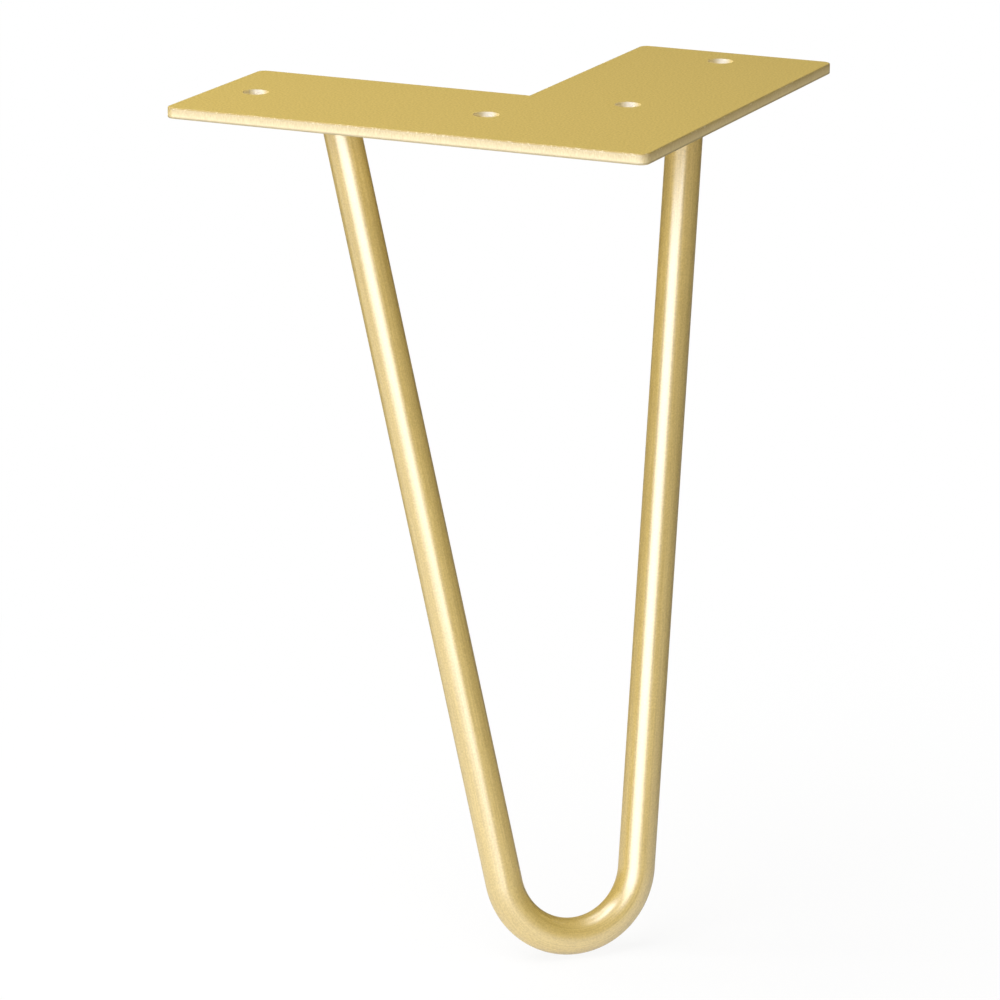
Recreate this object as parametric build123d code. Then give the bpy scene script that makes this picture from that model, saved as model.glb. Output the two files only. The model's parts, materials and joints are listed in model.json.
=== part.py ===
from build123d import *
from math import asin, atan2, degrees, hypot, sin
import os

# Hairpin table leg. An L-shaped plate screws up under the corner of a table top. One round bar,
# bent into a hairpin and welded to the plate by both ends, carries the load down to a rounded foot.
# The origin is on the plate's top face, where the centrelines of its two arms cross. The left arm
# runs along -X and the rear arm along +Y. The foot stands straight below the origin.

# Mounting plate, cut from flat sheet
ARM_LENGTH = 136.0  # outer corner to the end of either arm
ARM_WIDTH = 56.5
PLATE_THICKNESS = 3.0
CORNER_RADIUS = 2.5  # outside corners, seen from above
EDGE_ROUND = 0.4  # sharp arrises taken off round both faces

# Screw holes, two on the centreline of each arm
HOLE_DIAMETER = 7.0
INNER_HOLE_OFFSET = 28.25  # crossing of the centrelines to the middle of the inner hole
END_HOLE_INSET = 12.5  # end of the arm to the middle of the outer hole

# Hairpin, bent from round bar
LEG_HEIGHT = 228.6  # top face of the plate to the lowest point of the foot
BAR_DIAMETER = 10.0
BAR_INSET = 36.75  # end of the arm to the middle of the bar, at the plate's underside
BEND_INNER_RADIUS = 14.5  # the former that the bar is bent round

# Fillet weld round each end of the bar
WELD_LEG = 4.0  # reach along the plate, and down the bar
WELD_TOE = 0.5  # thickness of the bead where it runs out on the bar
WELD_CROWN = 0.6  # how far the middle of the bead stands proud of a flat fillet

# Sizes that follow from those above
bar_radius = BAR_DIAMETER / 2
bend_radius = BEND_INNER_RADIUS + bar_radius
arm_reach = ARM_LENGTH - ARM_WIDTH / 2
bar_reach = arm_reach - BAR_INSET
end_hole_offset = arm_reach - END_HOLE_INSET
underside = Plane.XY.offset(-PLATE_THICKNESS)

# The bar's centreline meets the underside at two tops, and turns at its lowest above the foot
left_top = Vector(-bar_reach, 0, -PLATE_THICKNESS)
rear_top = Vector(0, bar_reach, -PLATE_THICKNESS)
lowest = Vector(0, 0, bar_radius - LEG_HEIGHT)

# The hairpin lies in a leaning plane. In it, each straight run is the tangent from its top to the
# bend's circle, and the two runs, carried on past the bend, would meet at an apex below the foot.
lean = (left_top + rear_top) / 2 - lowest
half_gap = (rear_top - left_top).length / 2
rise_to_centre = lean.length - bend_radius
half_angle = atan2(half_gap, rise_to_centre) - asin(bend_radius / hypot(half_gap, rise_to_centre))
apex = lowest - lean.normalized() * (bend_radius / sin(half_angle) - bend_radius)


def mounting_plate():
    """L-shaped plate with two screw holes in each arm."""
    arm_shift = (ARM_LENGTH - ARM_WIDTH) / 2
    left_arm = Pos(-arm_shift, 0) * Rectangle(ARM_LENGTH, ARM_WIDTH)
    rear_arm = Pos(0, arm_shift) * Rectangle(ARM_WIDTH, ARM_LENGTH)
    outline = left_arm + rear_arm
    inner_corner = (-ARM_WIDTH / 2, ARM_WIDTH / 2)
    outside_corners = outline.vertices().sort_by_distance(inner_corner)[1:]
    outline = fillet(outside_corners, CORNER_RADIUS)
    hole_places = []
    for offset in (INNER_HOLE_OFFSET, end_hole_offset):
        hole_places.append((-offset, 0))
        hole_places.append((0, offset))
    outline -= Locations(hole_places) * Circle(HOLE_DIAMETER / 2)
    plate = extrude(underside * outline, PLATE_THICKNESS)
    flat_faces = plate.faces().filter_by(Axis.Z)
    arrises = [edge for face in flat_faces for edge in face.outer_wire().edges()]
    return fillet(arrises, EDGE_ROUND)


def hairpin_rod():
    """Bar bent into a hairpin, with both ends cut flush to the plate's underside."""
    left_run = left_top - apex
    rear_run = rear_top - apex
    past_plate = 1 + BAR_DIAMETER / left_run.length
    path = FilletPolyline(apex + left_run * past_plate, apex, apex + rear_run * past_plate, radius=bend_radius)
    section = Plane(origin=path @ 0, z_dir=path % 0) * Circle(bar_radius)
    return split(sweep(section, path=path), bisect_by=underside, keep=Keep.BOTTOM)


def weld_bead(top, rod):
    """Crowned fillet weld between the plate's underside and the end of the bar at this top."""
    down_the_bar = (apex - top).normalized()
    plumb = -down_the_bar.Z
    heading = degrees(atan2(down_the_bar.Y, down_the_bar.X))
    crown_reach = (WELD_LEG + WELD_TOE) / 2 + WELD_CROWN
    rings = []
    for depth, reach in ((0, WELD_LEG), (WELD_LEG / 2, crown_reach), (WELD_LEG, WELD_TOE)):
        centre = top + down_the_bar * (depth / plumb)
        ring = Ellipse(bar_radius / plumb + reach, bar_radius + reach)
        rings.append(Pos(centre) * Rot(0, 0, heading) * ring)
    return loft(rings, ruled=True) - rod


os.makedirs("parts", exist_ok=True)
rod = hairpin_rod()
export_step(mounting_plate(), "parts/mounting_plate.step")
export_step(rod, "parts/hairpin_rod.step")
export_step(weld_bead(left_top, rod), "parts/left_weld_bead.step")
export_step(weld_bead(rear_top, rod), "parts/rear_weld_bead.step")
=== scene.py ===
# %% [markdown]
# # A hairpin table leg in satin gold
# The leg is one round steel bar, bent like a hairpin and welded under an L-shaped plate. The frame
# brings the solids at their real size. This lesson gives them their finish, makes the bar and its
# welds again as finer meshes, and sets up a small white studio round them. Lengths are in metres.

# %% Load the frame
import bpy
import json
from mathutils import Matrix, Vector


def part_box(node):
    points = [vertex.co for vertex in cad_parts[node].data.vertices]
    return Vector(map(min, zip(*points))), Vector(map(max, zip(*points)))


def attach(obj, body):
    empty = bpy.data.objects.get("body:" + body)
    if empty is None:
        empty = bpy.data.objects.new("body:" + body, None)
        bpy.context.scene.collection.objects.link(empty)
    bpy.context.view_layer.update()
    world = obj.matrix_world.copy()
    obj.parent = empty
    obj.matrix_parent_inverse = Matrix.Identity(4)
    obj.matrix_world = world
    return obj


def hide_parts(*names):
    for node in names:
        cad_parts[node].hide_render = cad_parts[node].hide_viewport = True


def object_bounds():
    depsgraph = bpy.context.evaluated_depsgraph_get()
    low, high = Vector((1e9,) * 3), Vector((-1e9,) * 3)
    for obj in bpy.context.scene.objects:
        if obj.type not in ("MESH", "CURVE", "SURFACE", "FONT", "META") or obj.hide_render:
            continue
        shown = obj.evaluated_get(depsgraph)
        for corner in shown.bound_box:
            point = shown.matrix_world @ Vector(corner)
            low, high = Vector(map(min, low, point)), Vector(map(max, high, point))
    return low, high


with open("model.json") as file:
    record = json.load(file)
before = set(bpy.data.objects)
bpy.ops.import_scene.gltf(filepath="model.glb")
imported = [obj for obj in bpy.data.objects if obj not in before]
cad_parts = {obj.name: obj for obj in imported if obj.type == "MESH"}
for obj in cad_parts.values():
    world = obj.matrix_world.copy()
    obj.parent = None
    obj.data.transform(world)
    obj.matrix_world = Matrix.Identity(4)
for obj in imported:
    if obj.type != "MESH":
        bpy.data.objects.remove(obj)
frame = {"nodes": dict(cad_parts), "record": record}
cad_low, cad_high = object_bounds()
print("The frame holds", sorted(frame["nodes"]))

# %% [markdown]
# ## Sizes that come from the frame
# A piece that copies a solid has to lie exactly where the solid lies. The boxes of the solids say
# where the plate's underside, the foot and the two ends of the bar are. Only the stock size of the
# bar and the former that it was bent round can't be read from a box, so they are written here.

# %% Read the sizes
from math import asin, atan2, cos, hypot, pi, radians, sin
import bpy
from mathutils import Matrix, Vector

MILLIMETRE = 0.001
BAR_RADIUS = 5 * MILLIMETRE
BEND_INNER_RADIUS = 14.5 * MILLIMETRE

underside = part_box("mounting_plate")[0].z
plate_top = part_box("mounting_plate")[1].z
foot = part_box("hairpin_rod")[0].z


def bar_top(weld):
    """Where the bar's centreline meets the plate, which is the middle of the weld round it."""
    low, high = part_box(weld)
    middle = (low + high) / 2
    return Vector((middle.x, middle.y, underside))


left_top = bar_top("left_weld_bead")
rear_top = bar_top("rear_weld_bead")
print("The bar meets the plate at", left_top[:], "and", rear_top[:])

# %% [markdown]
# ## The bar's centreline
# The hairpin lies in a plane that leans out under the table. Each straight run is a tangent to the
# circle of the bend, so the two runs would meet in one apex, a little below the foot. Three points
# are then enough to draw the whole bar: an end, the apex and the other end.

# %% Work out the apex
bend_radius = BEND_INNER_RADIUS + BAR_RADIUS
lowest = Vector((0, 0, foot + BAR_RADIUS))
lean = (left_top + rear_top) / 2 - lowest
half_gap = (rear_top - left_top).length / 2
rise_to_centre = lean.length - bend_radius
to_tangent = asin(bend_radius / hypot(half_gap, rise_to_centre))
half_angle = atan2(half_gap, rise_to_centre) - to_tangent
apex = lowest - lean.normalized() * (bend_radius / sin(half_angle) - bend_radius)
print("The runs would meet at", tuple(round(length / MILLIMETRE, 2) for length in apex), "mm")

# %% [markdown]
# ## Helpers for node trees
# Node trees for shapes and for finishes are built in the same way, so one small function adds any
# node: it sets the node's options, then fills or links its inputs. The other two start a tree of
# Geometry Nodes, and run one on a small sketch mesh. What the tree makes is kept as a plain mesh,
# with no modifier left.

# %% Helpers for node trees


def add_node(tree, kind, inputs=(), **options):
    """Add a node with these options, and link or fill the inputs that are named."""
    node = tree.nodes.new(kind)
    for option, choice in options.items():
        setattr(node, option, choice)
    for name, value in dict(inputs).items():
        socket = next(s for s in node.inputs if s.enabled and name in (s.identifier, s.name))
        if isinstance(value, bpy.types.Node):
            value = next(s for s in value.outputs if s.enabled)
        if isinstance(value, bpy.types.NodeSocket):
            tree.links.new(value, socket)
        else:
            socket.default_value = value
    return node


def start_tree(name, sizes):
    """Start a tree whose inputs are a sketch, a material and these sizes. Gives tree and inputs."""
    tree = bpy.data.node_groups.new(name, "GeometryNodeTree")
    tree.interface.new_socket("Geometry", in_out="OUTPUT", socket_type="NodeSocketGeometry")
    tree.interface.new_socket("Sketch", in_out="INPUT", socket_type="NodeSocketGeometry")
    tree.interface.new_socket("Material", in_out="INPUT", socket_type="NodeSocketMaterial")
    for size, kind in sizes.items():
        tree.interface.new_socket(size, in_out="INPUT", socket_type="NodeSocket" + kind)
    return tree, tree.nodes.new("NodeGroupInput").outputs


def grow(name, points, edges, tree, values):
    """Run the tree on a sketch of these points and edges, and keep the result as a plain mesh."""
    sketch = bpy.data.meshes.new(name + "_sketch")
    sketch.from_pydata(points, edges, [])
    piece = bpy.data.objects.new(name, sketch)
    bpy.context.scene.collection.objects.link(piece)
    modifier = piece.modifiers.new("grow", "NODES")
    modifier.node_group = tree
    for item in tree.interface.items_tree:
        if item.name in values:
            modifier[item.identifier] = values[item.name]
    depsgraph = bpy.context.evaluated_depsgraph_get()
    mesh = bpy.data.meshes.new_from_object(piece.evaluated_get(depsgraph))
    piece.modifiers.remove(modifier)
    piece.data = mesh
    mesh.name = name
    print(name, "has", len(mesh.polygons), "faces")
    return piece


# %% [markdown]
# ## The lacquer
# The whole leg has one satin gold finish. A photograph can't say what it is made of. It is taken to
# be a lacquer, sprayed on after welding, whose gold is a pigment of fine mica flakes with a skin of
# titania. Such flakes scatter gold light softly and mirror about a quarter of the light untinted,
# which would explain why the highlights on this leg are white and not yellow. So the shader isn't a
# bare metal. It is a gold paint with the high index of refraction that titania has. Colours are
# written as on a paint chart, and one function turns them to the linear values that Blender mixes.

# %% Values of the lacquer
LACQUER_IOR = 2.9
DEEP_GOLD = "B4973E"
PALE_GOLD = "D0B460"


def paint(code):
    """Linear colour, with full alpha, of an sRGB hex value."""
    shares = [int(code[i:i + 2], 16) / 255 for i in (0, 2, 4)]
    return [s / 12.92 if s <= 0.04045 else ((s + 0.055) / 1.055) ** 2.4 for s in shares] + [1.0]


def start_finish(name):
    """Start a finish with this name. Gives the material and its empty tree."""
    finish = bpy.data.materials.new(name)
    finish.use_nodes = True
    finish.node_tree.nodes.clear()
    return finish, finish.node_tree


def spray(tree, colour, roughness, normal):
    """End a tree in the lacquer, with its colour, roughness and normal from these nodes."""
    lacquer = add_node(tree, "ShaderNodeBsdfPrincipled", {
        "Base Color": colour, "Roughness": roughness, "Normal": normal, "IOR": LACQUER_IOR,
    })
    add_node(tree, "ShaderNodeOutputMaterial", {"Surface": lacquer})


for code in (DEEP_GOLD, PALE_GOLD):
    print("Gold", code, "is", [round(share, 3) for share in paint(code)[:3]], "in linear light")

# %% [markdown]
# ## Lacquer on the drawn bar
# Drawing the bar through a die leaves fine lines along it, which the lacquer only half hides. Noise
# on plain coordinates would run straight through the bend. So the noise reads the place round the
# bar and along it, which the bar's own tree stores on its mesh: squeezed round the bar and stretched
# along it, it gives lines that turn with the bend. Real draw lines are a few hundredths of a
# millimetre wide. They are drawn at a third of a millimetre, and the flakes of the pigment at half
# a millimetre, because finer ones don't show.

# %% Finish of the bar
DRAW_LINE = 0.33 * MILLIMETRE
DRAW_LENGTH = 30 * MILLIMETRE
DRAW_DEPTH = 0.006 * MILLIMETRE
FLAKE = 0.5 * MILLIMETRE
ORANGE_PEEL = 0.9 * MILLIMETRE
PEEL_DEPTH = 0.010 * MILLIMETRE
BAR_SMOOTHEST, BAR_ROUGHEST = 0.30, 0.38

# Satin gold lacquer on drawn steel: a soft, wide highlight with faint streaks along the bar.
bar_finish, tree = start_finish("satin gold lacquer on drawn steel bar")
place = add_node(tree, "ShaderNodeAttribute", attribute_name="bar_place").outputs["Vector"]
stretched = add_node(tree, "ShaderNodeMapping", {
    "Vector": place, "Scale": (1 / DRAW_LINE, 1 / DRAW_LINE, 1 / DRAW_LENGTH),
})
lines = add_node(tree, "ShaderNodeTexNoise", {"Vector": stretched, "Scale": 1.0, "Detail": 3.0})
flakes = add_node(tree, "ShaderNodeTexNoise", {"Vector": place, "Scale": 1 / FLAKE, "Detail": 1.0})
peel = add_node(tree, "ShaderNodeTexNoise", {
    "Vector": place, "Scale": 1 / ORANGE_PEEL, "Detail": 2.0,
})
# Either noise stays near 0.5, so their sum stays near 1, in the middle of the ranges below.
speckled = add_node(tree, "ShaderNodeMath", operation="ADD", inputs={
    "Value": lines, "Value_001": flakes,
})
tone = add_node(tree, "ShaderNodeMapRange", {
    "Value": speckled, "From Min": 0.75, "From Max": 1.25,
})
colour = add_node(tree, "ShaderNodeMix", data_type="RGBA", inputs={
    "Factor_Float": tone, "A_Color": paint(DEEP_GOLD), "B_Color": paint(PALE_GOLD),
})
satin = add_node(tree, "ShaderNodeMapRange", {
    "Value": speckled, "From Min": 0.6, "From Max": 1.4,
    "To Min": BAR_SMOOTHEST, "To Max": BAR_ROUGHEST,
})
drawn = add_node(tree, "ShaderNodeBump", {"Height": lines, "Distance": DRAW_DEPTH})
skin = add_node(tree, "ShaderNodeBump", {
    "Height": peel, "Distance": PEEL_DEPTH, "Normal": drawn,
})
spray(tree, colour, satin, skin)
print(bar_finish.name, "has", len(tree.nodes), "nodes")

# %% [markdown]
# ## The bent bar
# The real bar is cut to length, bent once round a former and held up to the plate. A sweep follows
# the same rule, and stays exact if a size changes, which a modelled tube would not. The three-point
# sketch becomes a curve, and Fillet Curve rounds the apex to the bend. Each point of the path keeps
# its direction, its length from the start, and whether it is an end.

# %% Path of the bent bar
bar_tree, size = start_tree("bent bar", {
    "Bar radius": "Float", "Bend radius": "Float", "Underside": "Float",
    "Sides": "Int", "Bend steps": "Int",
})
runs = add_node(bar_tree, "GeometryNodeMeshToCurve", {"Mesh": size["Sketch"]})
bent = add_node(bar_tree, "GeometryNodeFilletCurve", mode="POLY", inputs={
    "Curve": runs, "Radius": size["Bend radius"], "Count": size["Bend steps"],
})
along = add_node(bar_tree, "GeometryNodeCaptureAttribute", {"Geometry": bent})
for kind, name in (("BOOLEAN", "at end"), ("VECTOR", "direction"), ("FLOAT", "length")):
    along.capture_items.new(kind, name)
ends = add_node(bar_tree, "GeometryNodeCurveEndpointSelection")
tangent = add_node(bar_tree, "GeometryNodeInputTangent")
measure = add_node(bar_tree, "GeometryNodeSplineParameter")
bar_tree.links.new(ends.outputs[0], along.inputs["at end"])
bar_tree.links.new(tangent.outputs[0], along.inputs["direction"])
bar_tree.links.new(measure.outputs["Length"], along.inputs["length"])
print("Each point of the path keeps", [item.name for item in along.capture_items])

# %% [markdown]
# ### Sweep the bar, and bring its ends to the plate
# Curve to Mesh carries a circle along the path and caps both ends. A sweep ends square to its path,
# but this bar leans and lies flat against the plate. So the points of the two end rings slide along
# the bar until they are at the height of the plate's underside.

# %% Sweep of the bent bar
circle = add_node(bar_tree, "GeometryNodeCurvePrimitiveCircle", {
    "Resolution": size["Sides"], "Radius": size["Bar radius"],
})
position = add_node(bar_tree, "GeometryNodeInputPosition")
around = add_node(bar_tree, "GeometryNodeCaptureAttribute", {"Geometry": circle})
around.capture_items.new("VECTOR", "place")
bar_tree.links.new(position.outputs[0], around.inputs["place"])
swept = add_node(bar_tree, "GeometryNodeCurveToMesh", {
    "Curve": along.outputs["Geometry"], "Profile Curve": around.outputs["Geometry"],
    "Fill Caps": True,
})
height = add_node(bar_tree, "ShaderNodeSeparateXYZ", {"Vector": position})
steepness = add_node(bar_tree, "ShaderNodeSeparateXYZ", {"Vector": along.outputs["direction"]})
short_by = add_node(bar_tree, "ShaderNodeMath", operation="SUBTRACT", inputs={
    "Value": size["Underside"], "Value_001": height.outputs["Z"],
})
slide = add_node(bar_tree, "ShaderNodeMath", operation="DIVIDE", inputs={
    "Value": short_by, "Value_001": steepness.outputs["Z"],
})
to_plate = add_node(bar_tree, "ShaderNodeVectorMath", operation="SCALE", inputs={
    "Vector": along.outputs["direction"], "Scale": slide,
})
cut = add_node(bar_tree, "GeometryNodeSetPosition", {
    "Geometry": swept, "Selection": along.outputs["at end"], "Offset": to_plate,
})
print("The sweep ends at a height of", round(underside / MILLIMETRE, 2), "mm")

# %% [markdown]
# ### Mark the bar for its grain, and coat it
# Each point keeps its place round the bar and along it under a name that the finish reads, so the
# grain follows the bend without a seam. The wall is shaded smooth and the two caps stay flat. A face
# of the wall has four corners and a cap has many, which tells them apart.

# %% Marks and finish of the bent bar
WALL_CORNERS = 4

place = add_node(bar_tree, "ShaderNodeSeparateXYZ", {"Vector": around.outputs["place"]})
bar_place = add_node(bar_tree, "ShaderNodeCombineXYZ", {
    "X": place.outputs["X"], "Y": place.outputs["Y"], "Z": along.outputs["length"],
})
marked = add_node(bar_tree, "GeometryNodeStoreNamedAttribute", data_type="FLOAT_VECTOR", inputs={
    "Geometry": cut, "Name": "bar_place", "Value": bar_place,
})
corners = add_node(bar_tree, "GeometryNodeInputMeshFaceNeighbors")
is_wall = add_node(bar_tree, "FunctionNodeCompare", data_type="INT", operation="LESS_EQUAL", inputs={
    "A": corners.outputs["Vertex Count"], "B": WALL_CORNERS,
})
smooth = add_node(bar_tree, "GeometryNodeSetShadeSmooth", {
    "Geometry": marked, "Shade Smooth": is_wall,
})
real = add_node(bar_tree, "GeometryNodeRealizeInstances", {"Geometry": smooth})
coated = add_node(bar_tree, "GeometryNodeSetMaterial", {
    "Geometry": real, "Material": size["Material"],
})
add_node(bar_tree, "NodeGroupOutput", {"Geometry": coated})
print(bar_tree.name, "has", len(bar_tree.nodes), "nodes")

# %% [markdown]
# ### Run the tree
# The sketch is only the two ends and the apex. Enough sides round the bar, and enough steps in the
# bend, keep its highlight and its outline free of corners.

# %% Grow the bar
BAR_SIDES = 96
BEND_STEPS = 72

bar = grow("hairpin_bar", [left_top, apex, rear_top], [(0, 1), (1, 2)], bar_tree, {
    "Material": bar_finish, "Bar radius": BAR_RADIUS, "Bend radius": bend_radius,
    "Underside": underside, "Sides": BAR_SIDES, "Bend steps": BEND_STEPS,
})

# %% [markdown]
# ## The welds
# A welder runs a fillet bead round each end of the bar. It could be a plain ring with a bumpy finish,
# but from below its ripples show in the outline, so they are made in the mesh. The sketch is the
# bead's own section. The tree first carries it round a plain circle, which gives a mesh of the right
# build. Each point remembers its place on the circle and on the section, and formulas then work out
# its real place from those two.

# %% Ring for a weld bead
weld_tree, size = start_tree("weld bead", {
    "Bar radius": "Float", "Long radius": "Float", "Lean": "Float", "Heading": "Float",
    "Top": "Vector", "Steps": "Int", "Ripples": "Int", "Ripple height": "Float",
    "Ripple bow": "Float", "Toe wander": "Float", "Seed": "Float",
})
position = add_node(weld_tree, "GeometryNodeInputPosition")
circle = add_node(weld_tree, "GeometryNodeCurvePrimitiveCircle", {
    "Resolution": size["Steps"], "Radius": 1.0,
})
around = add_node(weld_tree, "GeometryNodeCaptureAttribute", {"Geometry": circle})
around.capture_items.new("VECTOR", "outward")
around.capture_items.new("FLOAT", "turn")
measure = add_node(weld_tree, "GeometryNodeSplineParameter")
weld_tree.links.new(position.outputs[0], around.inputs["outward"])
weld_tree.links.new(measure.outputs["Factor"], around.inputs["turn"])
section = add_node(weld_tree, "GeometryNodeMeshToCurve", {"Mesh": size["Sketch"]})
across = add_node(weld_tree, "GeometryNodeCaptureAttribute", {"Geometry": section})
across.capture_items.new("VECTOR", "reach and depth")
weld_tree.links.new(position.outputs[0], across.inputs["reach and depth"])
ring = add_node(weld_tree, "GeometryNodeCurveToMesh", {
    "Curve": around.outputs["Geometry"], "Profile Curve": across.outputs["Geometry"],
})
print("Each point of the circle keeps", [item.name for item in around.capture_items])

# %% [markdown]
# ### Uneven toes
# The two borders of a bead are its toes. They wander, because no hand moves evenly. Slow noise round
# the ring stretches the section a little, and as it reads the place on the circle, it closes on
# itself where the bead ends. The seed is a fourth coordinate of the noise, so the two welds differ.

# %% Toes of the bead
WANDER_SCALE = 1.6

wander = add_node(weld_tree, "ShaderNodeTexNoise", noise_dimensions="4D", inputs={
    "Vector": around.outputs["outward"], "W": size["Seed"], "Scale": WANDER_SCALE, "Detail": 1.0,
})
uneven = add_node(weld_tree, "ShaderNodeVectorMath", operation="SUBTRACT", inputs={
    "Vector": wander.outputs["Color"], "Vector_001": (0.5, 0.5, 0.5),
})
growth = add_node(weld_tree, "ShaderNodeVectorMath", operation="SCALE", inputs={
    "Vector": uneven, "Scale": size["Toe wander"],
})
stretch = add_node(weld_tree, "ShaderNodeVectorMath", operation="ADD", inputs={
    "Vector": growth, "Vector_001": (1, 1, 1),
})
toes = add_node(weld_tree, "ShaderNodeVectorMath", operation="MULTIPLY", inputs={
    "Vector": across.outputs["reach and depth"], "Vector_001": stretch,
})
part = add_node(weld_tree, "ShaderNodeSeparateXYZ", {"Vector": toes})
print(weld_tree.name, "has", len(weld_tree.nodes), "nodes with its toes")

# %% [markdown]
# ### Ripples
# A bead sets in small crescents, one for each dip of the filler rod. The turn round the ring, times
# the number of ripples, counts them, and its fraction runs from 0 to 1 within each one. A square root
# rounds that like the edge of a coin. The count is bowed in the middle of the bead, which makes each
# line a crescent, and the lift fades out at both toes.

# %% Ripples of the bead
spread = add_node(weld_tree, "ShaderNodeMath", operation="ADD", inputs={
    "Value": part.outputs["X"], "Value_001": part.outputs["Y"],
})
share = add_node(weld_tree, "ShaderNodeMath", operation="DIVIDE", use_clamp=True, inputs={
    "Value": part.outputs["X"], "Value_001": spread,
})
from_plate = add_node(weld_tree, "ShaderNodeMath", operation="SUBTRACT", use_clamp=True, inputs={
    "Value": 1.0, "Value_001": share,
})
crown = add_node(weld_tree, "ShaderNodeMath", operation="MULTIPLY", inputs={
    "Value": share, "Value_001": from_plate,
})
bow = add_node(weld_tree, "ShaderNodeMath", operation="MULTIPLY", inputs={
    "Value": crown, "Value_001": size["Ripple bow"],
})
count = add_node(weld_tree, "ShaderNodeMath", operation="MULTIPLY_ADD", inputs={
    "Value": around.outputs["turn"], "Value_001": size["Ripples"], "Value_002": bow,
})
within = add_node(weld_tree, "ShaderNodeMath", {"Value": count}, operation="FRACT")
squared = add_node(weld_tree, "ShaderNodeMath", operation="MULTIPLY", inputs={
    "Value": within, "Value_001": within,
})
fall = add_node(weld_tree, "ShaderNodeMath", operation="SUBTRACT", inputs={
    "Value": 1.0, "Value_001": squared,
})
coin = add_node(weld_tree, "ShaderNodeMath", {"Value": fall}, operation="SQRT")
raised = add_node(weld_tree, "ShaderNodeMath", operation="MULTIPLY", inputs={
    "Value": coin, "Value_001": crown,
})
lift = add_node(weld_tree, "ShaderNodeMath", operation="MULTIPLY", inputs={
    "Value": raised, "Value_001": size["Ripple height"],
})
reach = add_node(weld_tree, "ShaderNodeMath", operation="ADD", inputs={
    "Value": part.outputs["X"], "Value_001": lift,
})
depth = add_node(weld_tree, "ShaderNodeMath", operation="ADD", inputs={
    "Value": part.outputs["Y"], "Value_001": lift,
})
print(weld_tree.name, "has", len(weld_tree.nodes), "nodes with its ripples")

# %% [markdown]
# ### The bead on the leaning bar
# A bar that leans meets the plate in an oval. Each point goes out from that oval along the plate by
# its reach, and down along the bar by its depth, so the bead fits the slanting bar all the way round.
# The ring is then turned to the way that this bar leans, and moved to its top.

# %% Place and finish of the bead
oval = add_node(weld_tree, "ShaderNodeCombineXYZ", {
    "X": size["Long radius"], "Y": size["Bar radius"],
})
bar_edge = add_node(weld_tree, "ShaderNodeVectorMath", operation="MULTIPLY", inputs={
    "Vector": around.outputs["outward"], "Vector_001": oval,
})
out_from_bar = add_node(weld_tree, "ShaderNodeVectorMath", operation="SCALE", inputs={
    "Vector": around.outputs["outward"], "Scale": reach,
})
down_bar = add_node(weld_tree, "ShaderNodeCombineXYZ", {"X": size["Lean"], "Z": -1.0})
down_from_plate = add_node(weld_tree, "ShaderNodeVectorMath", operation="SCALE", inputs={
    "Vector": down_bar, "Scale": depth,
})
on_plate = add_node(weld_tree, "ShaderNodeVectorMath", operation="ADD", inputs={
    "Vector": bar_edge, "Vector_001": out_from_bar,
})
on_bead = add_node(weld_tree, "ShaderNodeVectorMath", operation="ADD", inputs={
    "Vector": on_plate, "Vector_001": down_from_plate,
})
shaped = add_node(weld_tree, "GeometryNodeSetPosition", {"Geometry": ring, "Position": on_bead})
turned = add_node(weld_tree, "ShaderNodeCombineXYZ", {"Z": size["Heading"]})
placed = add_node(weld_tree, "GeometryNodeTransform", {
    "Geometry": shaped, "Translation": size["Top"], "Rotation": turned,
})
smooth = add_node(weld_tree, "GeometryNodeSetShadeSmooth", {"Geometry": placed})
real = add_node(weld_tree, "GeometryNodeRealizeInstances", {"Geometry": smooth})
coated = add_node(weld_tree, "GeometryNodeSetMaterial", {
    "Geometry": real, "Material": size["Material"],
})
add_node(weld_tree, "NodeGroupOutput", {"Geometry": coated})
print(weld_tree.name, "has", len(weld_tree.nodes), "nodes")

# %% [markdown]
# ## Lacquer over a weld
# Cooled weld metal is rougher than drawn bar, and the spray settles on it as a duller skin with small
# pits. Coarse noise in the colour, and finer noise in the roughness and the bump, give that skin. The
# crescents themselves are in the mesh.

# %% Finish of the welds
WELD_PIT = 0.5 * MILLIMETRE
PIT_DEPTH = 0.03 * MILLIMETRE
WELD_BLOTCH = 2.5 * MILLIMETRE
WELD_GOLD = "B29A4A"
WELD_SMOOTHEST, WELD_ROUGHEST = 0.36, 0.52

# Satin gold lacquer over weld metal: duller than the bar, with pits and slightly uneven gold.
weld_finish, tree = start_finish("satin gold lacquer over weld metal")
place = add_node(tree, "ShaderNodeTexCoord").outputs["Object"]
pits = add_node(tree, "ShaderNodeTexNoise", {
    "Vector": place, "Scale": 1 / WELD_PIT, "Detail": 3.0,
})
blotches = add_node(tree, "ShaderNodeTexNoise", {
    "Vector": place, "Scale": 1 / WELD_BLOTCH, "Detail": 2.0,
})
tone = add_node(tree, "ShaderNodeMapRange", {"Value": blotches, "From Min": 0.3, "From Max": 0.7})
colour = add_node(tree, "ShaderNodeMix", data_type="RGBA", inputs={
    "Factor_Float": tone, "A_Color": paint(WELD_GOLD), "B_Color": paint(PALE_GOLD),
})
satin = add_node(tree, "ShaderNodeMapRange", {
    "Value": pits, "From Min": 0.25, "From Max": 0.75,
    "To Min": WELD_SMOOTHEST, "To Max": WELD_ROUGHEST,
})
pitted = add_node(tree, "ShaderNodeBump", {"Height": pits, "Distance": PIT_DEPTH})
spray(tree, colour, satin, pitted)
print(weld_finish.name, "has", len(tree.nodes), "nodes")

# %% [markdown]
# ### Two beads from one tree
# Both ends of the bar get the same tree, each with its own place, lean and seed. The section is a
# fillet with a low crown. It sits a little inside the bar and the plate, as melted metal does, so no
# gap shows along the toes.

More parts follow.
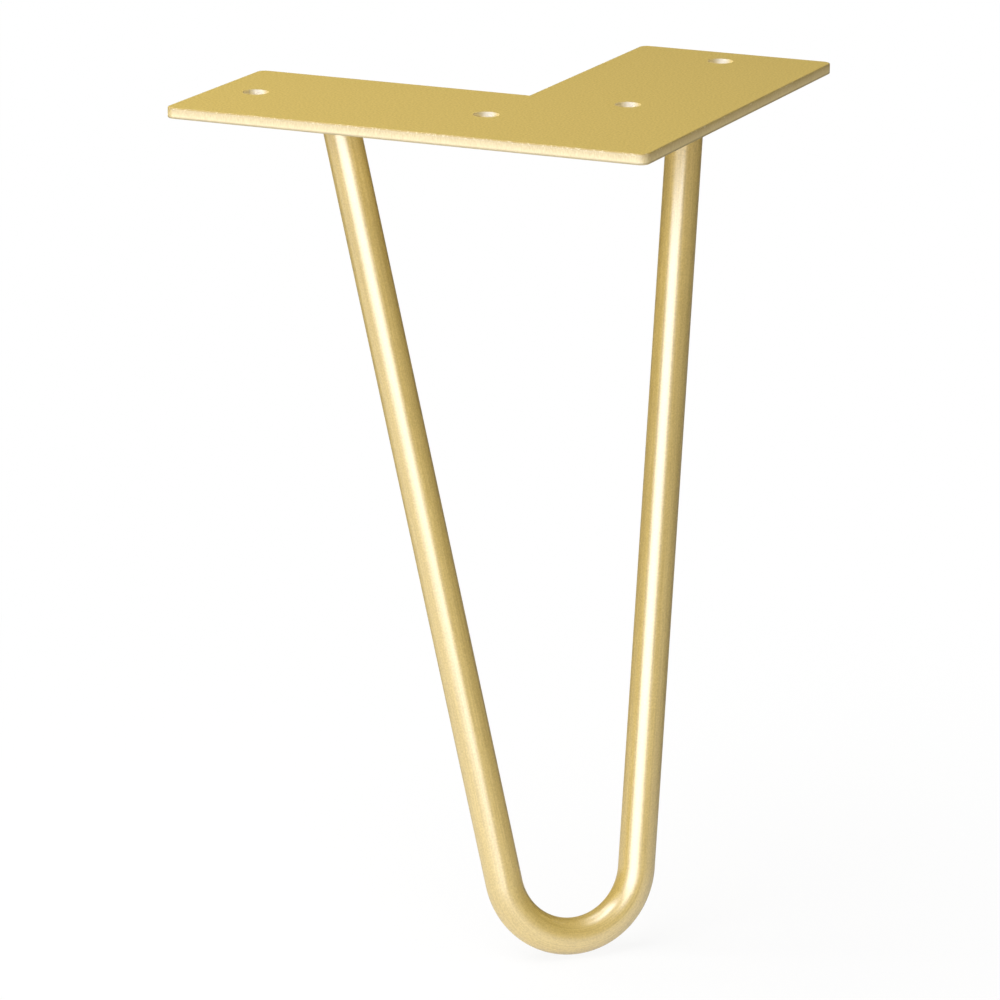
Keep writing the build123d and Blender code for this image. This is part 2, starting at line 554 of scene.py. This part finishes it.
# %% Grow both weld beads
WELD_CROWN = 0.5 * MILLIMETRE
WELD_SEAT = 0.1 * MILLIMETRE  # how far the bead melts into the bar and the plate
SECTION_STEPS = 14
RIPPLES = 26
STEPS_PER_RIPPLE = 12
RIPPLE_HEIGHT = 1.1 * MILLIMETRE  # times the crown's share, which is a quarter at most
RIPPLE_BOW = 3.0
TOE_WANDER = 0.35

weld_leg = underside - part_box("left_weld_bead")[0].z
weld_section = []
for step in range(SECTION_STEPS + 1):
    outward = step / SECTION_STEPS
    swell = WELD_CROWN * 4 * outward * (1 - outward)
    reach = (weld_leg + WELD_SEAT) * outward - WELD_SEAT + swell
    depth = (weld_leg + WELD_SEAT) * (1 - outward) - WELD_SEAT + swell
    weld_section.append((reach, depth, 0))
weld_section.append((-WELD_SEAT, -WELD_SEAT, 0))
section_edges = [(i, (i + 1) % len(weld_section)) for i in range(len(weld_section))]

welds = {}
for node, top, seed in (("left_weld_bead", left_top, 1.0), ("rear_weld_bead", rear_top, 4.0)):
    down = (apex - top).normalized()
    welds[node] = grow(node + "_rippled", weld_section, section_edges, weld_tree, {
        "Material": weld_finish, "Bar radius": BAR_RADIUS, "Long radius": BAR_RADIUS / -down.z,
        "Lean": hypot(down.x, down.y) / -down.z, "Heading": atan2(down.y, down.x), "Top": top,
        "Steps": RIPPLES * STEPS_PER_RIPPLE, "Ripples": RIPPLES, "Ripple height": RIPPLE_HEIGHT,
        "Ripple bow": RIPPLE_BOW, "Toe wander": TOE_WANDER, "Seed": seed,
    })

# %% [markdown]
# ## Lacquer on the sheet steel
# The plate keeps its solid from the frame, because its shape is right as it is. Its broad faces are
# rolled sheet and its edges were cut, so the lacquer differs on the two. Height within the sheet
# tells them apart. Masks made from it say where the cut edge is, and where the arris is, the narrow
# rounding between an edge and a face.

# %% Faces, edges and arrises of the plate
ARRIS = 0.4 * MILLIMETRE

# Satin gold lacquer on rolled and cut sheet: even faces, paler edges with upright scores, pale nicks
# that are partly painted glints, painted shade on the rims, and painted light in the holes.
plate_finish, tree = start_finish("satin gold lacquer on sheet steel")
place = add_node(tree, "ShaderNodeTexCoord").outputs["Object"]
height = add_node(tree, "ShaderNodeSeparateXYZ", {"Vector": place}).outputs["Z"]
half_sheet = (plate_top - underside) / 2
from_middle = add_node(tree, "ShaderNodeMath", operation="ADD", inputs={
    "Value": height, "Value_001": half_sheet - plate_top,
})
off_middle = add_node(tree, "ShaderNodeMath", {"Value": from_middle}, operation="ABSOLUTE")
on_edge = add_node(tree, "ShaderNodeMapRange", {
    "Value": off_middle, "From Min": half_sheet - 0.1 * ARRIS, "From Max": half_sheet - ARRIS,
})
near_face = add_node(tree, "ShaderNodeMapRange", {
    "Value": off_middle, "From Min": half_sheet - 2 * ARRIS, "From Max": half_sheet - ARRIS,
})
off_face = add_node(tree, "ShaderNodeMapRange", {
    "Value": off_middle,
    "From Min": half_sheet - 0.02 * ARRIS, "From Max": half_sheet - 0.12 * ARRIS,
})
on_arris = add_node(tree, "ShaderNodeMath", operation="MULTIPLY", inputs={
    "Value": near_face, "Value_001": off_face,
})
print("The sheet is", round(2 * half_sheet / MILLIMETRE, 2), "mm thick")

# %% [markdown]
# ### Gold of the faces and the edges
# On the faces the lacquer is even, with only a fine mottle. On the edges the cut has left upright
# scores, drawn here by noise that is narrow across and long upwards. Lacquer draws back from a cut
# edge, so it is paler there, and palest low down, where it has thinned most.

# %% Gold of the faces and the edges
FACE_MOTTLE = 0.6 * MILLIMETRE
FACE_DEEP, FACE_PALE = "B59B46", "D9BF70"
SCORE_WIDTH = 0.35 * MILLIMETRE
SCORE_LENGTH = 0.9 * MILLIMETRE
EDGE_DEEP, EDGE_PALE = "B2964A", "D6C084"
THINNING = 0.25

mottle = add_node(tree, "ShaderNodeTexNoise", {
    "Vector": place, "Scale": 1 / FACE_MOTTLE, "Detail": 3.0,
})
face_tone = add_node(tree, "ShaderNodeMapRange", {
    "Value": mottle, "From Min": 0.3, "From Max": 0.7,
})
face_colour = add_node(tree, "ShaderNodeMix", data_type="RGBA", inputs={
    "Factor_Float": face_tone, "A_Color": paint(FACE_DEEP), "B_Color": paint(FACE_PALE),
})
upright = add_node(tree, "ShaderNodeMapping", {
    "Vector": place, "Scale": (1 / SCORE_WIDTH, 1 / SCORE_WIDTH, 1 / SCORE_LENGTH),
})
scores = add_node(tree, "ShaderNodeTexNoise", {"Vector": upright, "Scale": 1.0, "Detail": 5.0})
thinned = add_node(tree, "ShaderNodeMapRange", {
    "Value": height, "From Min": plate_top - ARRIS, "From Max": underside + 2 * ARRIS,
    "To Min": -THINNING, "To Max": THINNING,
})
worn = add_node(tree, "ShaderNodeMath", operation="ADD", inputs={
    "Value": scores, "Value_001": thinned,
})
edge_tone = add_node(tree, "ShaderNodeMapRange", {"Value": worn, "From Min": 0.2, "From Max": 0.8})
edge_colour = add_node(tree, "ShaderNodeMix", data_type="RGBA", inputs={
    "Factor_Float": edge_tone, "A_Color": paint(EDGE_DEEP), "B_Color": paint(EDGE_PALE),
})
gold = add_node(tree, "ShaderNodeMix", data_type="RGBA", inputs={
    "Factor_Float": on_edge, "A_Color": face_colour, "B_Color": edge_colour,
})
print("The scores are", round(SCORE_WIDTH / MILLIMETRE, 2), "mm wide")

# %% [markdown]
# ### Painted rim shade, nicks and a darker low band
# Where an edge meets a face, the rounded rim is painted a duller gold. This is a painted shade that
# keeps it from shining brighter than the faces. Small pale nicks on it are partly wear and partly
# painted glints. Along the bottom of each cut edge, a thin band is darker.

# %% Rim shade, nicks and low band of the plate
# The rims' duller gold is painted shade.
RIM_SHADE_GOLD = "B49A54"
# The pale nicks are partly wear and partly painted glints.
NICK_AND_GLINT_SIZE = 0.5 * MILLIMETRE
NICK_AND_GLINT_FROM, NICK_AND_GLINT_FULL = 0.58, 0.66
NICK_AND_GLINT_GOLD = "D2C094"
# A darker gold for a thin band along the bottom of each cut edge.
LOW_BAND_GOLD = "A08A48"

# Painted shade: the rims are mixed towards a duller gold.
rim_shaded = add_node(tree, "ShaderNodeMix", data_type="RGBA", inputs={
    "Factor_Float": on_arris, "A_Color": gold, "B_Color": paint(RIM_SHADE_GOLD),
})
# Pale specks on the rims: partly nicks from wear, partly painted glints.
nick_and_glint_noise = add_node(tree, "ShaderNodeTexNoise", {"Vector": place, "Scale": 1 / NICK_AND_GLINT_SIZE, "Detail": 1.0})
nick_and_glint_specks = add_node(tree, "ShaderNodeMapRange", {
    "Value": nick_and_glint_noise, "From Min": NICK_AND_GLINT_FROM, "From Max": NICK_AND_GLINT_FULL,
})
nicks_and_glints = add_node(tree, "ShaderNodeMath", operation="MULTIPLY", inputs={
    "Value": nick_and_glint_specks, "Value_001": on_arris,
})
glinting_nicked_gold = add_node(tree, "ShaderNodeMix", data_type="RGBA", inputs={
    "Factor_Float": nicks_and_glints, "A_Color": rim_shaded, "B_Color": paint(NICK_AND_GLINT_GOLD),
})
above_arris = add_node(tree, "ShaderNodeMapRange", {
    "Value": height, "From Min": underside + 0.1 * ARRIS, "From Max": underside + 0.3 * ARRIS,
})
below_scores = add_node(tree, "ShaderNodeMapRange", {
    "Value": height, "From Min": underside + 1.6 * ARRIS, "From Max": underside + ARRIS,
})
in_low_band = add_node(tree, "ShaderNodeMath", operation="MULTIPLY", inputs={
    "Value": above_arris, "Value_001": below_scores,
})
low_banded_gold = add_node(tree, "ShaderNodeMix", data_type="RGBA", inputs={
    "Factor_Float": in_low_band, "A_Color": glinting_nicked_gold, "B_Color": paint(LOW_BAND_GOLD),
})
print(plate_finish.name, "has", len(tree.nodes), "nodes with its rim")

# %% [markdown]
# ### Walls of the screw holes
# The record of the frame gives the middle, the spacing and the radius of each pair of holes, so a
# distance measured in plan finds their walls. In the photograph each hole has a bright spot, which
# is probably a reflection. A reflection should come from the lamps, but the plate's lamps are kept
# out of its gloss. So the spot is a stand-in: a paler gold, painted on the wall that faces the
# camera. It stays on that wall from every side and under any light.

# %% Walls of the screw holes
SPOT_WAY = Vector((-0.2, 0.98, 0))  # from the middle of a hole to the wall that faces the camera
# Both golds are painted light: the wall gold, paler than the faces, is a painted sheen all round each
# hole, and the spot gold is a painted reflection.
WALL_SHEEN_GOLD, SPOT_GOLD = "DEC67C", "FFF6E4"
WALL_FROM, WALL_FULL = 0.06 * MILLIMETRE, 0.02 * MILLIMETRE  # past the radius of the hole
FAR_OFF = 1.0

flat_place = add_node(tree, "ShaderNodeVectorMath", operation="MULTIPLY", inputs={
    "Vector": place, "Vector_001": (1, 1, 0),
})
nearest = {"hole": FAR_OFF, "spot": FAR_OFF}
for mount in frame["record"]["mounts"]:
    if mount["kind"] != "bolt_pattern":
        continue
    dims = mount["dims"]
    hole_radius = dims["hole_r_mm"] * MILLIMETRE
    apart = Vector((dims.get("spacing_x_mm", 0), dims.get("spacing_y_mm", 0), 0)) * MILLIMETRE
    for end in (-0.5, 0.5):
        hole = Vector(mount["pos_m"]) + apart * end
        for name, point in (("hole", hole), ("spot", hole + SPOT_WAY * hole_radius)):
            away = add_node(tree, "ShaderNodeVectorMath", operation="DISTANCE", inputs={
                "Vector": flat_place, "Vector_001": point,
            })
            nearest[name] = add_node(tree, "ShaderNodeMath", operation="MINIMUM", inputs={
                "Value": nearest[name], "Value_001": away.outputs["Value"],
            })
in_hole = add_node(tree, "ShaderNodeMapRange", {
    "Value": nearest["hole"],
    "From Min": hole_radius + WALL_FROM, "From Max": hole_radius + WALL_FULL,
})
bright_spot = add_node(tree, "ShaderNodeMapRange", {
    "Value": nearest["spot"], "From Min": 0.8 * hole_radius, "From Max": 0.2 * hole_radius,
})
# The walls get a painted sheen, with a painted reflection on the side that faces the camera.
wall_colour = add_node(tree, "ShaderNodeMix", data_type="RGBA", inputs={
    "Factor_Float": bright_spot, "A_Color": paint(WALL_SHEEN_GOLD), "B_Color": paint(SPOT_GOLD),
})
colour = add_node(tree, "ShaderNodeMix", data_type="RGBA", inputs={
    "Factor_Float": in_hole, "A_Color": low_banded_gold, "B_Color": wall_colour,
})
print("The holes are", round(2 * hole_radius / MILLIMETRE, 2), "mm across")

# %% [markdown]
# ### Gloss and grain of the plate
# The same masks give the gloss: the faces are smoothest and the cut edges dullest. Three bumps lie
# over each other, for the mottle of the faces, the scores of the edges and the holes. The holes are
# taken to be punched, so their walls get a slight taper.

# %% Gloss and grain of the plate
FACE_ROUGHNESS, EDGE_ROUGHNESS, HOLE_ROUGHNESS = 0.36, 0.44, 0.37
GRAIN_DEPTH = 0.014 * MILLIMETRE
PUNCH_TAPER = 0.25

sprayed = add_node(tree, "ShaderNodeMapRange", {
    "Value": on_edge, "To Min": FACE_ROUGHNESS, "To Max": EDGE_ROUGHNESS,
})
satin = add_node(tree, "ShaderNodeMix", data_type="FLOAT", inputs={
    "Factor_Float": in_hole, "A_Float": sprayed, "B_Float": HOLE_ROUGHNESS,
})
on_cut = add_node(tree, "ShaderNodeMath", operation="SUBTRACT", use_clamp=True, inputs={
    "Value": on_edge, "Value_001": in_hole,
})
edge_height = add_node(tree, "ShaderNodeMath", operation="MULTIPLY", inputs={
    "Value": scores, "Value_001": on_cut,
})
rolled = add_node(tree, "ShaderNodeBump", {"Height": mottle, "Distance": GRAIN_DEPTH})
scored = add_node(tree, "ShaderNodeBump", {
    "Height": edge_height, "Distance": GRAIN_DEPTH, "Normal": rolled,
})
funnel = add_node(tree, "ShaderNodeMath", operation="MULTIPLY", inputs={
    "Value": height, "Value_001": in_hole,
})
tapered = add_node(tree, "ShaderNodeBump", invert=True, inputs={
    "Height": funnel, "Distance": PUNCH_TAPER, "Normal": scored,
})
spray(tree, colour, satin, tapered)
plate = frame["nodes"]["mounting_plate"]
for slot in plate.material_slots:
    slot.material = plate_finish
print(plate_finish.name, "has", len(tree.nodes), "nodes")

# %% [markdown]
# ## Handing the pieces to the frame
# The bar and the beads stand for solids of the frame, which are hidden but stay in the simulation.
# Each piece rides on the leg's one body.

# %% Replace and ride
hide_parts("hairpin_rod")
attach(bar, "root")
for node, bead in welds.items():
    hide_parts(node)
    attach(bead, "root")
print("Pieces on the leg:", bar.name, [bead.name for bead in welds.values()])

# %% [markdown]
# ## The camera
# A product picture is taken from far off with a long lens, so that upright lines stay nearly
# parallel. The camera's place, heading, rise and slight roll were solved from the straight edges of
# the plate and the bar, so the leg lies in the frame as it does in the photograph.

# %% Camera
LENS, SENSOR = 175.6, 36
CAMERA_PLACE = (0.476487, -1.141004, 0.254573)
HEADING, RISE, ROLL = radians(23.655), radians(16.051), radians(0.512)

camera_data = bpy.data.cameras.new("photographer")
camera_data.lens = LENS
camera_data.sensor_width = SENSOR
camera = bpy.data.objects.new("photographer", camera_data)
bpy.context.scene.collection.objects.link(camera)
tilt = Matrix.Rotation(pi / 2 - RISE, 4, "X")
aim = Matrix.Rotation(HEADING, 4, "Z") @ tilt @ Matrix.Rotation(ROLL, 4, "Z")
camera.matrix_world = Matrix.Translation(CAMERA_PLACE) @ aim
bpy.context.scene.camera = camera
centre = (cad_low + cad_high) / 2
to_camera = camera.location - centre
camera_bearing = atan2(to_camera.y, to_camera.x)
print("The camera stands", round(to_camera.length, 3), "m from the leg")

# %% [markdown]
# ## The floor
# The leg stands on a round white table. A lit white table never renders evenly white, so rays from
# the camera, and rays that a glossy surface sends out, see a plain white glow. Near the foot they
# also see a small share of the lit surface, which keeps a soft shadow there. Behind the leg the glow
# is dimmer in gloss, as where a white table ends in a dark studio, and this draws the darker line
# along the sides of each bar. The table fades out before its rim, so that no line shows behind the
# leg. From below it is clear, so that the welds can be looked at.

# %% Glow of the floor
DIM_BEARING = radians(165)  # from the camera, round to the right
DIM_REACH = 0.16
DIM_GLOSS = 0.22

# Matt white laminate: even white with the faintest shadow.
floor_finish, tree = start_finish("matt white laminate")
place = add_node(tree, "ShaderNodeTexCoord").outputs["Object"]
dim_side = Matrix.Rotation(camera_bearing + DIM_BEARING, 3, "Z") @ Vector((1, 0, 0))
towards_dim = add_node(tree, "ShaderNodeVectorMath", operation="DOT_PRODUCT", inputs={
    "Vector": place, "Vector_001": dim_side,
})
dimmed = add_node(tree, "ShaderNodeMapRange", {
    "Value": towards_dim.outputs["Value"], "From Max": DIM_REACH,
    "To Min": 1.0, "To Max": DIM_GLOSS,
})
path = add_node(tree, "ShaderNodeLightPath")
mirrored = add_node(tree, "ShaderNodeMath", operation="MAXIMUM", inputs={
    "Value": path.outputs["Is Glossy Ray"], "Value_001": path.outputs["Is Transmission Ray"],
})
strength = add_node(tree, "ShaderNodeMix", data_type="FLOAT", inputs={
    "Factor_Float": mirrored, "A_Float": 1.0, "B_Float": dimmed,
})
glow = add_node(tree, "ShaderNodeEmission", {"Color": paint("FFFFFF"), "Strength": strength})
print("In gloss the floor falls to", DIM_GLOSS, "of white behind the leg")

# %% [markdown]
# ### Shadow and rim of the floor
# The share of the lit surface is largest at the foot and gone a third of a metre away. A second mix
# clears the floor towards its rim, and wherever a ray meets it from below.

# %% Floor
FLOOR_RADIUS = 1.7
FLOOR_FADE_FROM = 0.95
SHADOW_REACH = 0.35
SHADOW_SHARE = 0.10
RIM_STEPS = 96

laminate = add_node(tree, "ShaderNodeBsdfDiffuse", {"Color": paint("F0F0EE")})
seen = add_node(tree, "ShaderNodeMath", operation="MAXIMUM", inputs={
    "Value": mirrored, "Value_001": path.outputs["Is Camera Ray"],
})
outward = add_node(tree, "ShaderNodeVectorMath", operation="DISTANCE", inputs={
    "Vector": place, "Vector_001": (0, 0, foot),
}).outputs["Value"]
glowing = add_node(tree, "ShaderNodeMapRange", {
    "Value": outward, "From Max": SHADOW_REACH, "To Min": 1 - SHADOW_SHARE, "To Max": 1.0,
})
share = add_node(tree, "ShaderNodeMath", operation="MULTIPLY", inputs={
    "Value": seen, "Value_001": glowing,
})
white = add_node(tree, "ShaderNodeMixShader", {
    "Fac": share, "Shader": laminate, "Shader_001": glow,
})
fade = add_node(tree, "ShaderNodeMapRange", {
    "Value": outward, "From Min": FLOOR_FADE_FROM, "From Max": FLOOR_RADIUS,
})
from_below = add_node(tree, "ShaderNodeNewGeometry").outputs["Backfacing"]
gone = add_node(tree, "ShaderNodeMath", operation="MAXIMUM", inputs={
    "Value": fade, "Value_001": from_below,
})
clear = add_node(tree, "ShaderNodeBsdfTransparent")
either = add_node(tree, "ShaderNodeMixShader", {
    "Fac": gone, "Shader": white, "Shader_001": clear,
})
add_node(tree, "ShaderNodeOutputMaterial", {"Surface": either})

rim = []
for step in range(RIM_STEPS):
    turn = Matrix.Rotation(2 * pi * step / RIM_STEPS, 3, "Z")
    rim.append(turn @ Vector((FLOOR_RADIUS, 0, foot)))
floor_mesh = bpy.data.meshes.new("white_floor")
floor_mesh.from_pydata(rim, [], [range(RIM_STEPS)])
floor_mesh.materials.append(floor_finish)
floor = bpy.data.objects.new("white_floor", floor_mesh)
bpy.context.scene.collection.objects.link(floor)
print("The floor is", 2 * FLOOR_RADIUS, "m across")

# %% [markdown]
# ## The lamps
# Round bars show their lamps as long bands. The wide white band left of the middle of each bar comes
# from one large softbox beside the camera, a little to its left and not much higher than the leg. A
# flat plate is different: it shows a lamp over its whole face at once, and goes white. So round and
# flat pieces have lamps of their own, by light linking, where a collection holds the pieces that a
# lamp lights. The plate's lamps stay out of its gloss, except for a low one, beneath the plane of
# the plate, which its edges mirror and its top face can't. The fill and back lamps stay out of the
# gloss too. A lamp's power follows from how bright its cloth looks, where 1 is white.

# %% Lamps


def softbox(name, bearing, out, level, width, depth, brightness, in_gloss=False, only=()):
    """Area lamp that faces the leg, by degrees right of the camera, distance out and level."""
    turn = camera_bearing + radians(bearing)
    light = bpy.data.lights.new(name, "AREA")
    light.shape = "RECTANGLE"
    light.size = width
    light.size_y = depth
    light.energy = pi * width * depth * brightness
    lamp = bpy.data.objects.new(name, light)
    lamp.visible_glossy = in_gloss
    bpy.context.scene.collection.objects.link(lamp)
    spot = Vector((centre.x + out * cos(turn), centre.y + out * sin(turn), level))
    pitch = Matrix.Rotation(atan2(out, level - centre.z), 4, "X")
    facing = Matrix.Rotation(turn + pi / 2, 4, "Z") @ pitch
    lamp.matrix_world = Matrix.Translation(spot) @ facing
    if only:
        lit = bpy.data.collections.new("lit by " + name)
        for piece in only:
            lit.objects.link(piece)
        lamp.light_linking.receiver_collection = lit
    print(name, "gives", round(light.energy, 2), "W")


round_pieces = [bar, *welds.values()]
flat_pieces = [plate, floor]
# Name, bearing, distance out, level, width, depth and brightness.
softbox("bar_key_softbox", -18, 1.17, 0.185, 1.3, 0.8, 4.2, in_gloss=True, only=round_pieces)
softbox("bar_top_softbox", -75, 0.21, 0.81, 0.85, 0.75, 5.35, in_gloss=True, only=round_pieces)
softbox("plate_key_softbox", -18, 1.17, 0.135, 1.25, 0.8, 1.6, only=flat_pieces)
softbox("plate_top_softbox", -75, 0.42, 0.76, 0.85, 0.75, 6.9, only=flat_pieces)
softbox("edge_softbox", -26, 0.8, -0.115, 1.7, 0.22, 2.65, in_gloss=True, only=[plate])
softbox("bar_fill_softbox", 75, 1.08, 0.115, 0.8, 0.6, 0.5, only=round_pieces)
softbox("plate_fill_softbox", 75, 1.08, 0.115, 0.8, 0.6, 2.0, only=flat_pieces)
softbox("back_softbox", 170, 1.1, 0.1, 0.9, 0.6, 1.3)
softbox("bar_back_softbox", 192, 1.1, 0.2, 0.4, 0.8, 4.5, only=round_pieces)

# %% [markdown]
# ## The room
# The rest of the studio is dim, and dimmest behind the leg, so the sides of each bar fall off to a
# deeper gold. The camera itself sees plain white wherever it looks past the floor. Glossy surfaces
# see only a small share of that white, less than a white studio would show them, because the bars in
# the photograph have dark sides.

# %% World
ROOM_NEAR, ROOM_FAR = 0.16, 0.01
NEAR_UNTIL, FAR_FROM = -0.4, 0.7  # on the way from the near side, -1, to the dim side, 1
WHITE_IN_GLOSS = 0.05

world = bpy.data.worlds.new("studio")
bpy.context.scene.world = world
world.use_nodes = True
tree = world.node_tree
tree.nodes.clear()
way = add_node(tree, "ShaderNodeTexCoord").outputs["Generated"]
dimness = add_node(tree, "ShaderNodeVectorMath", operation="DOT_PRODUCT", inputs={
    "Vector": way, "Vector_001": dim_side,
})
room = add_node(tree, "ShaderNodeMapRange", {
    "Value": dimness.outputs["Value"], "From Min": NEAR_UNTIL, "From Max": FAR_FROM,
    "To Min": ROOM_NEAR, "To Max": ROOM_FAR,
})
path = add_node(tree, "ShaderNodeLightPath")
mirrored = add_node(tree, "ShaderNodeMath", operation="MAXIMUM", inputs={
    "Value": path.outputs["Is Glossy Ray"], "Value_001": path.outputs["Is Transmission Ray"],
})
white_share = add_node(tree, "ShaderNodeMath", operation="MULTIPLY_ADD", use_clamp=True, inputs={
    "Value": mirrored, "Value_001": WHITE_IN_GLOSS, "Value_002": path.outputs["Is Camera Ray"],
})
strength = add_node(tree, "ShaderNodeMix", data_type="FLOAT", inputs={
    "Factor_Float": white_share, "A_Float": room, "B_Float": 1.0,
})
background = add_node(tree, "ShaderNodeBackground", {
    "Color": paint("FFFFFF"), "Strength": strength,
})
add_node(tree, "ShaderNodeOutputWorld", {"Surface": background})
bpy.context.scene.view_settings.view_transform = "Standard"
print("The room goes from", ROOM_NEAR, "of white down to", ROOM_FAR)

# %% [markdown]
# ## The end
# The finished leg must not be larger than its solids.

# %% Finish
import json
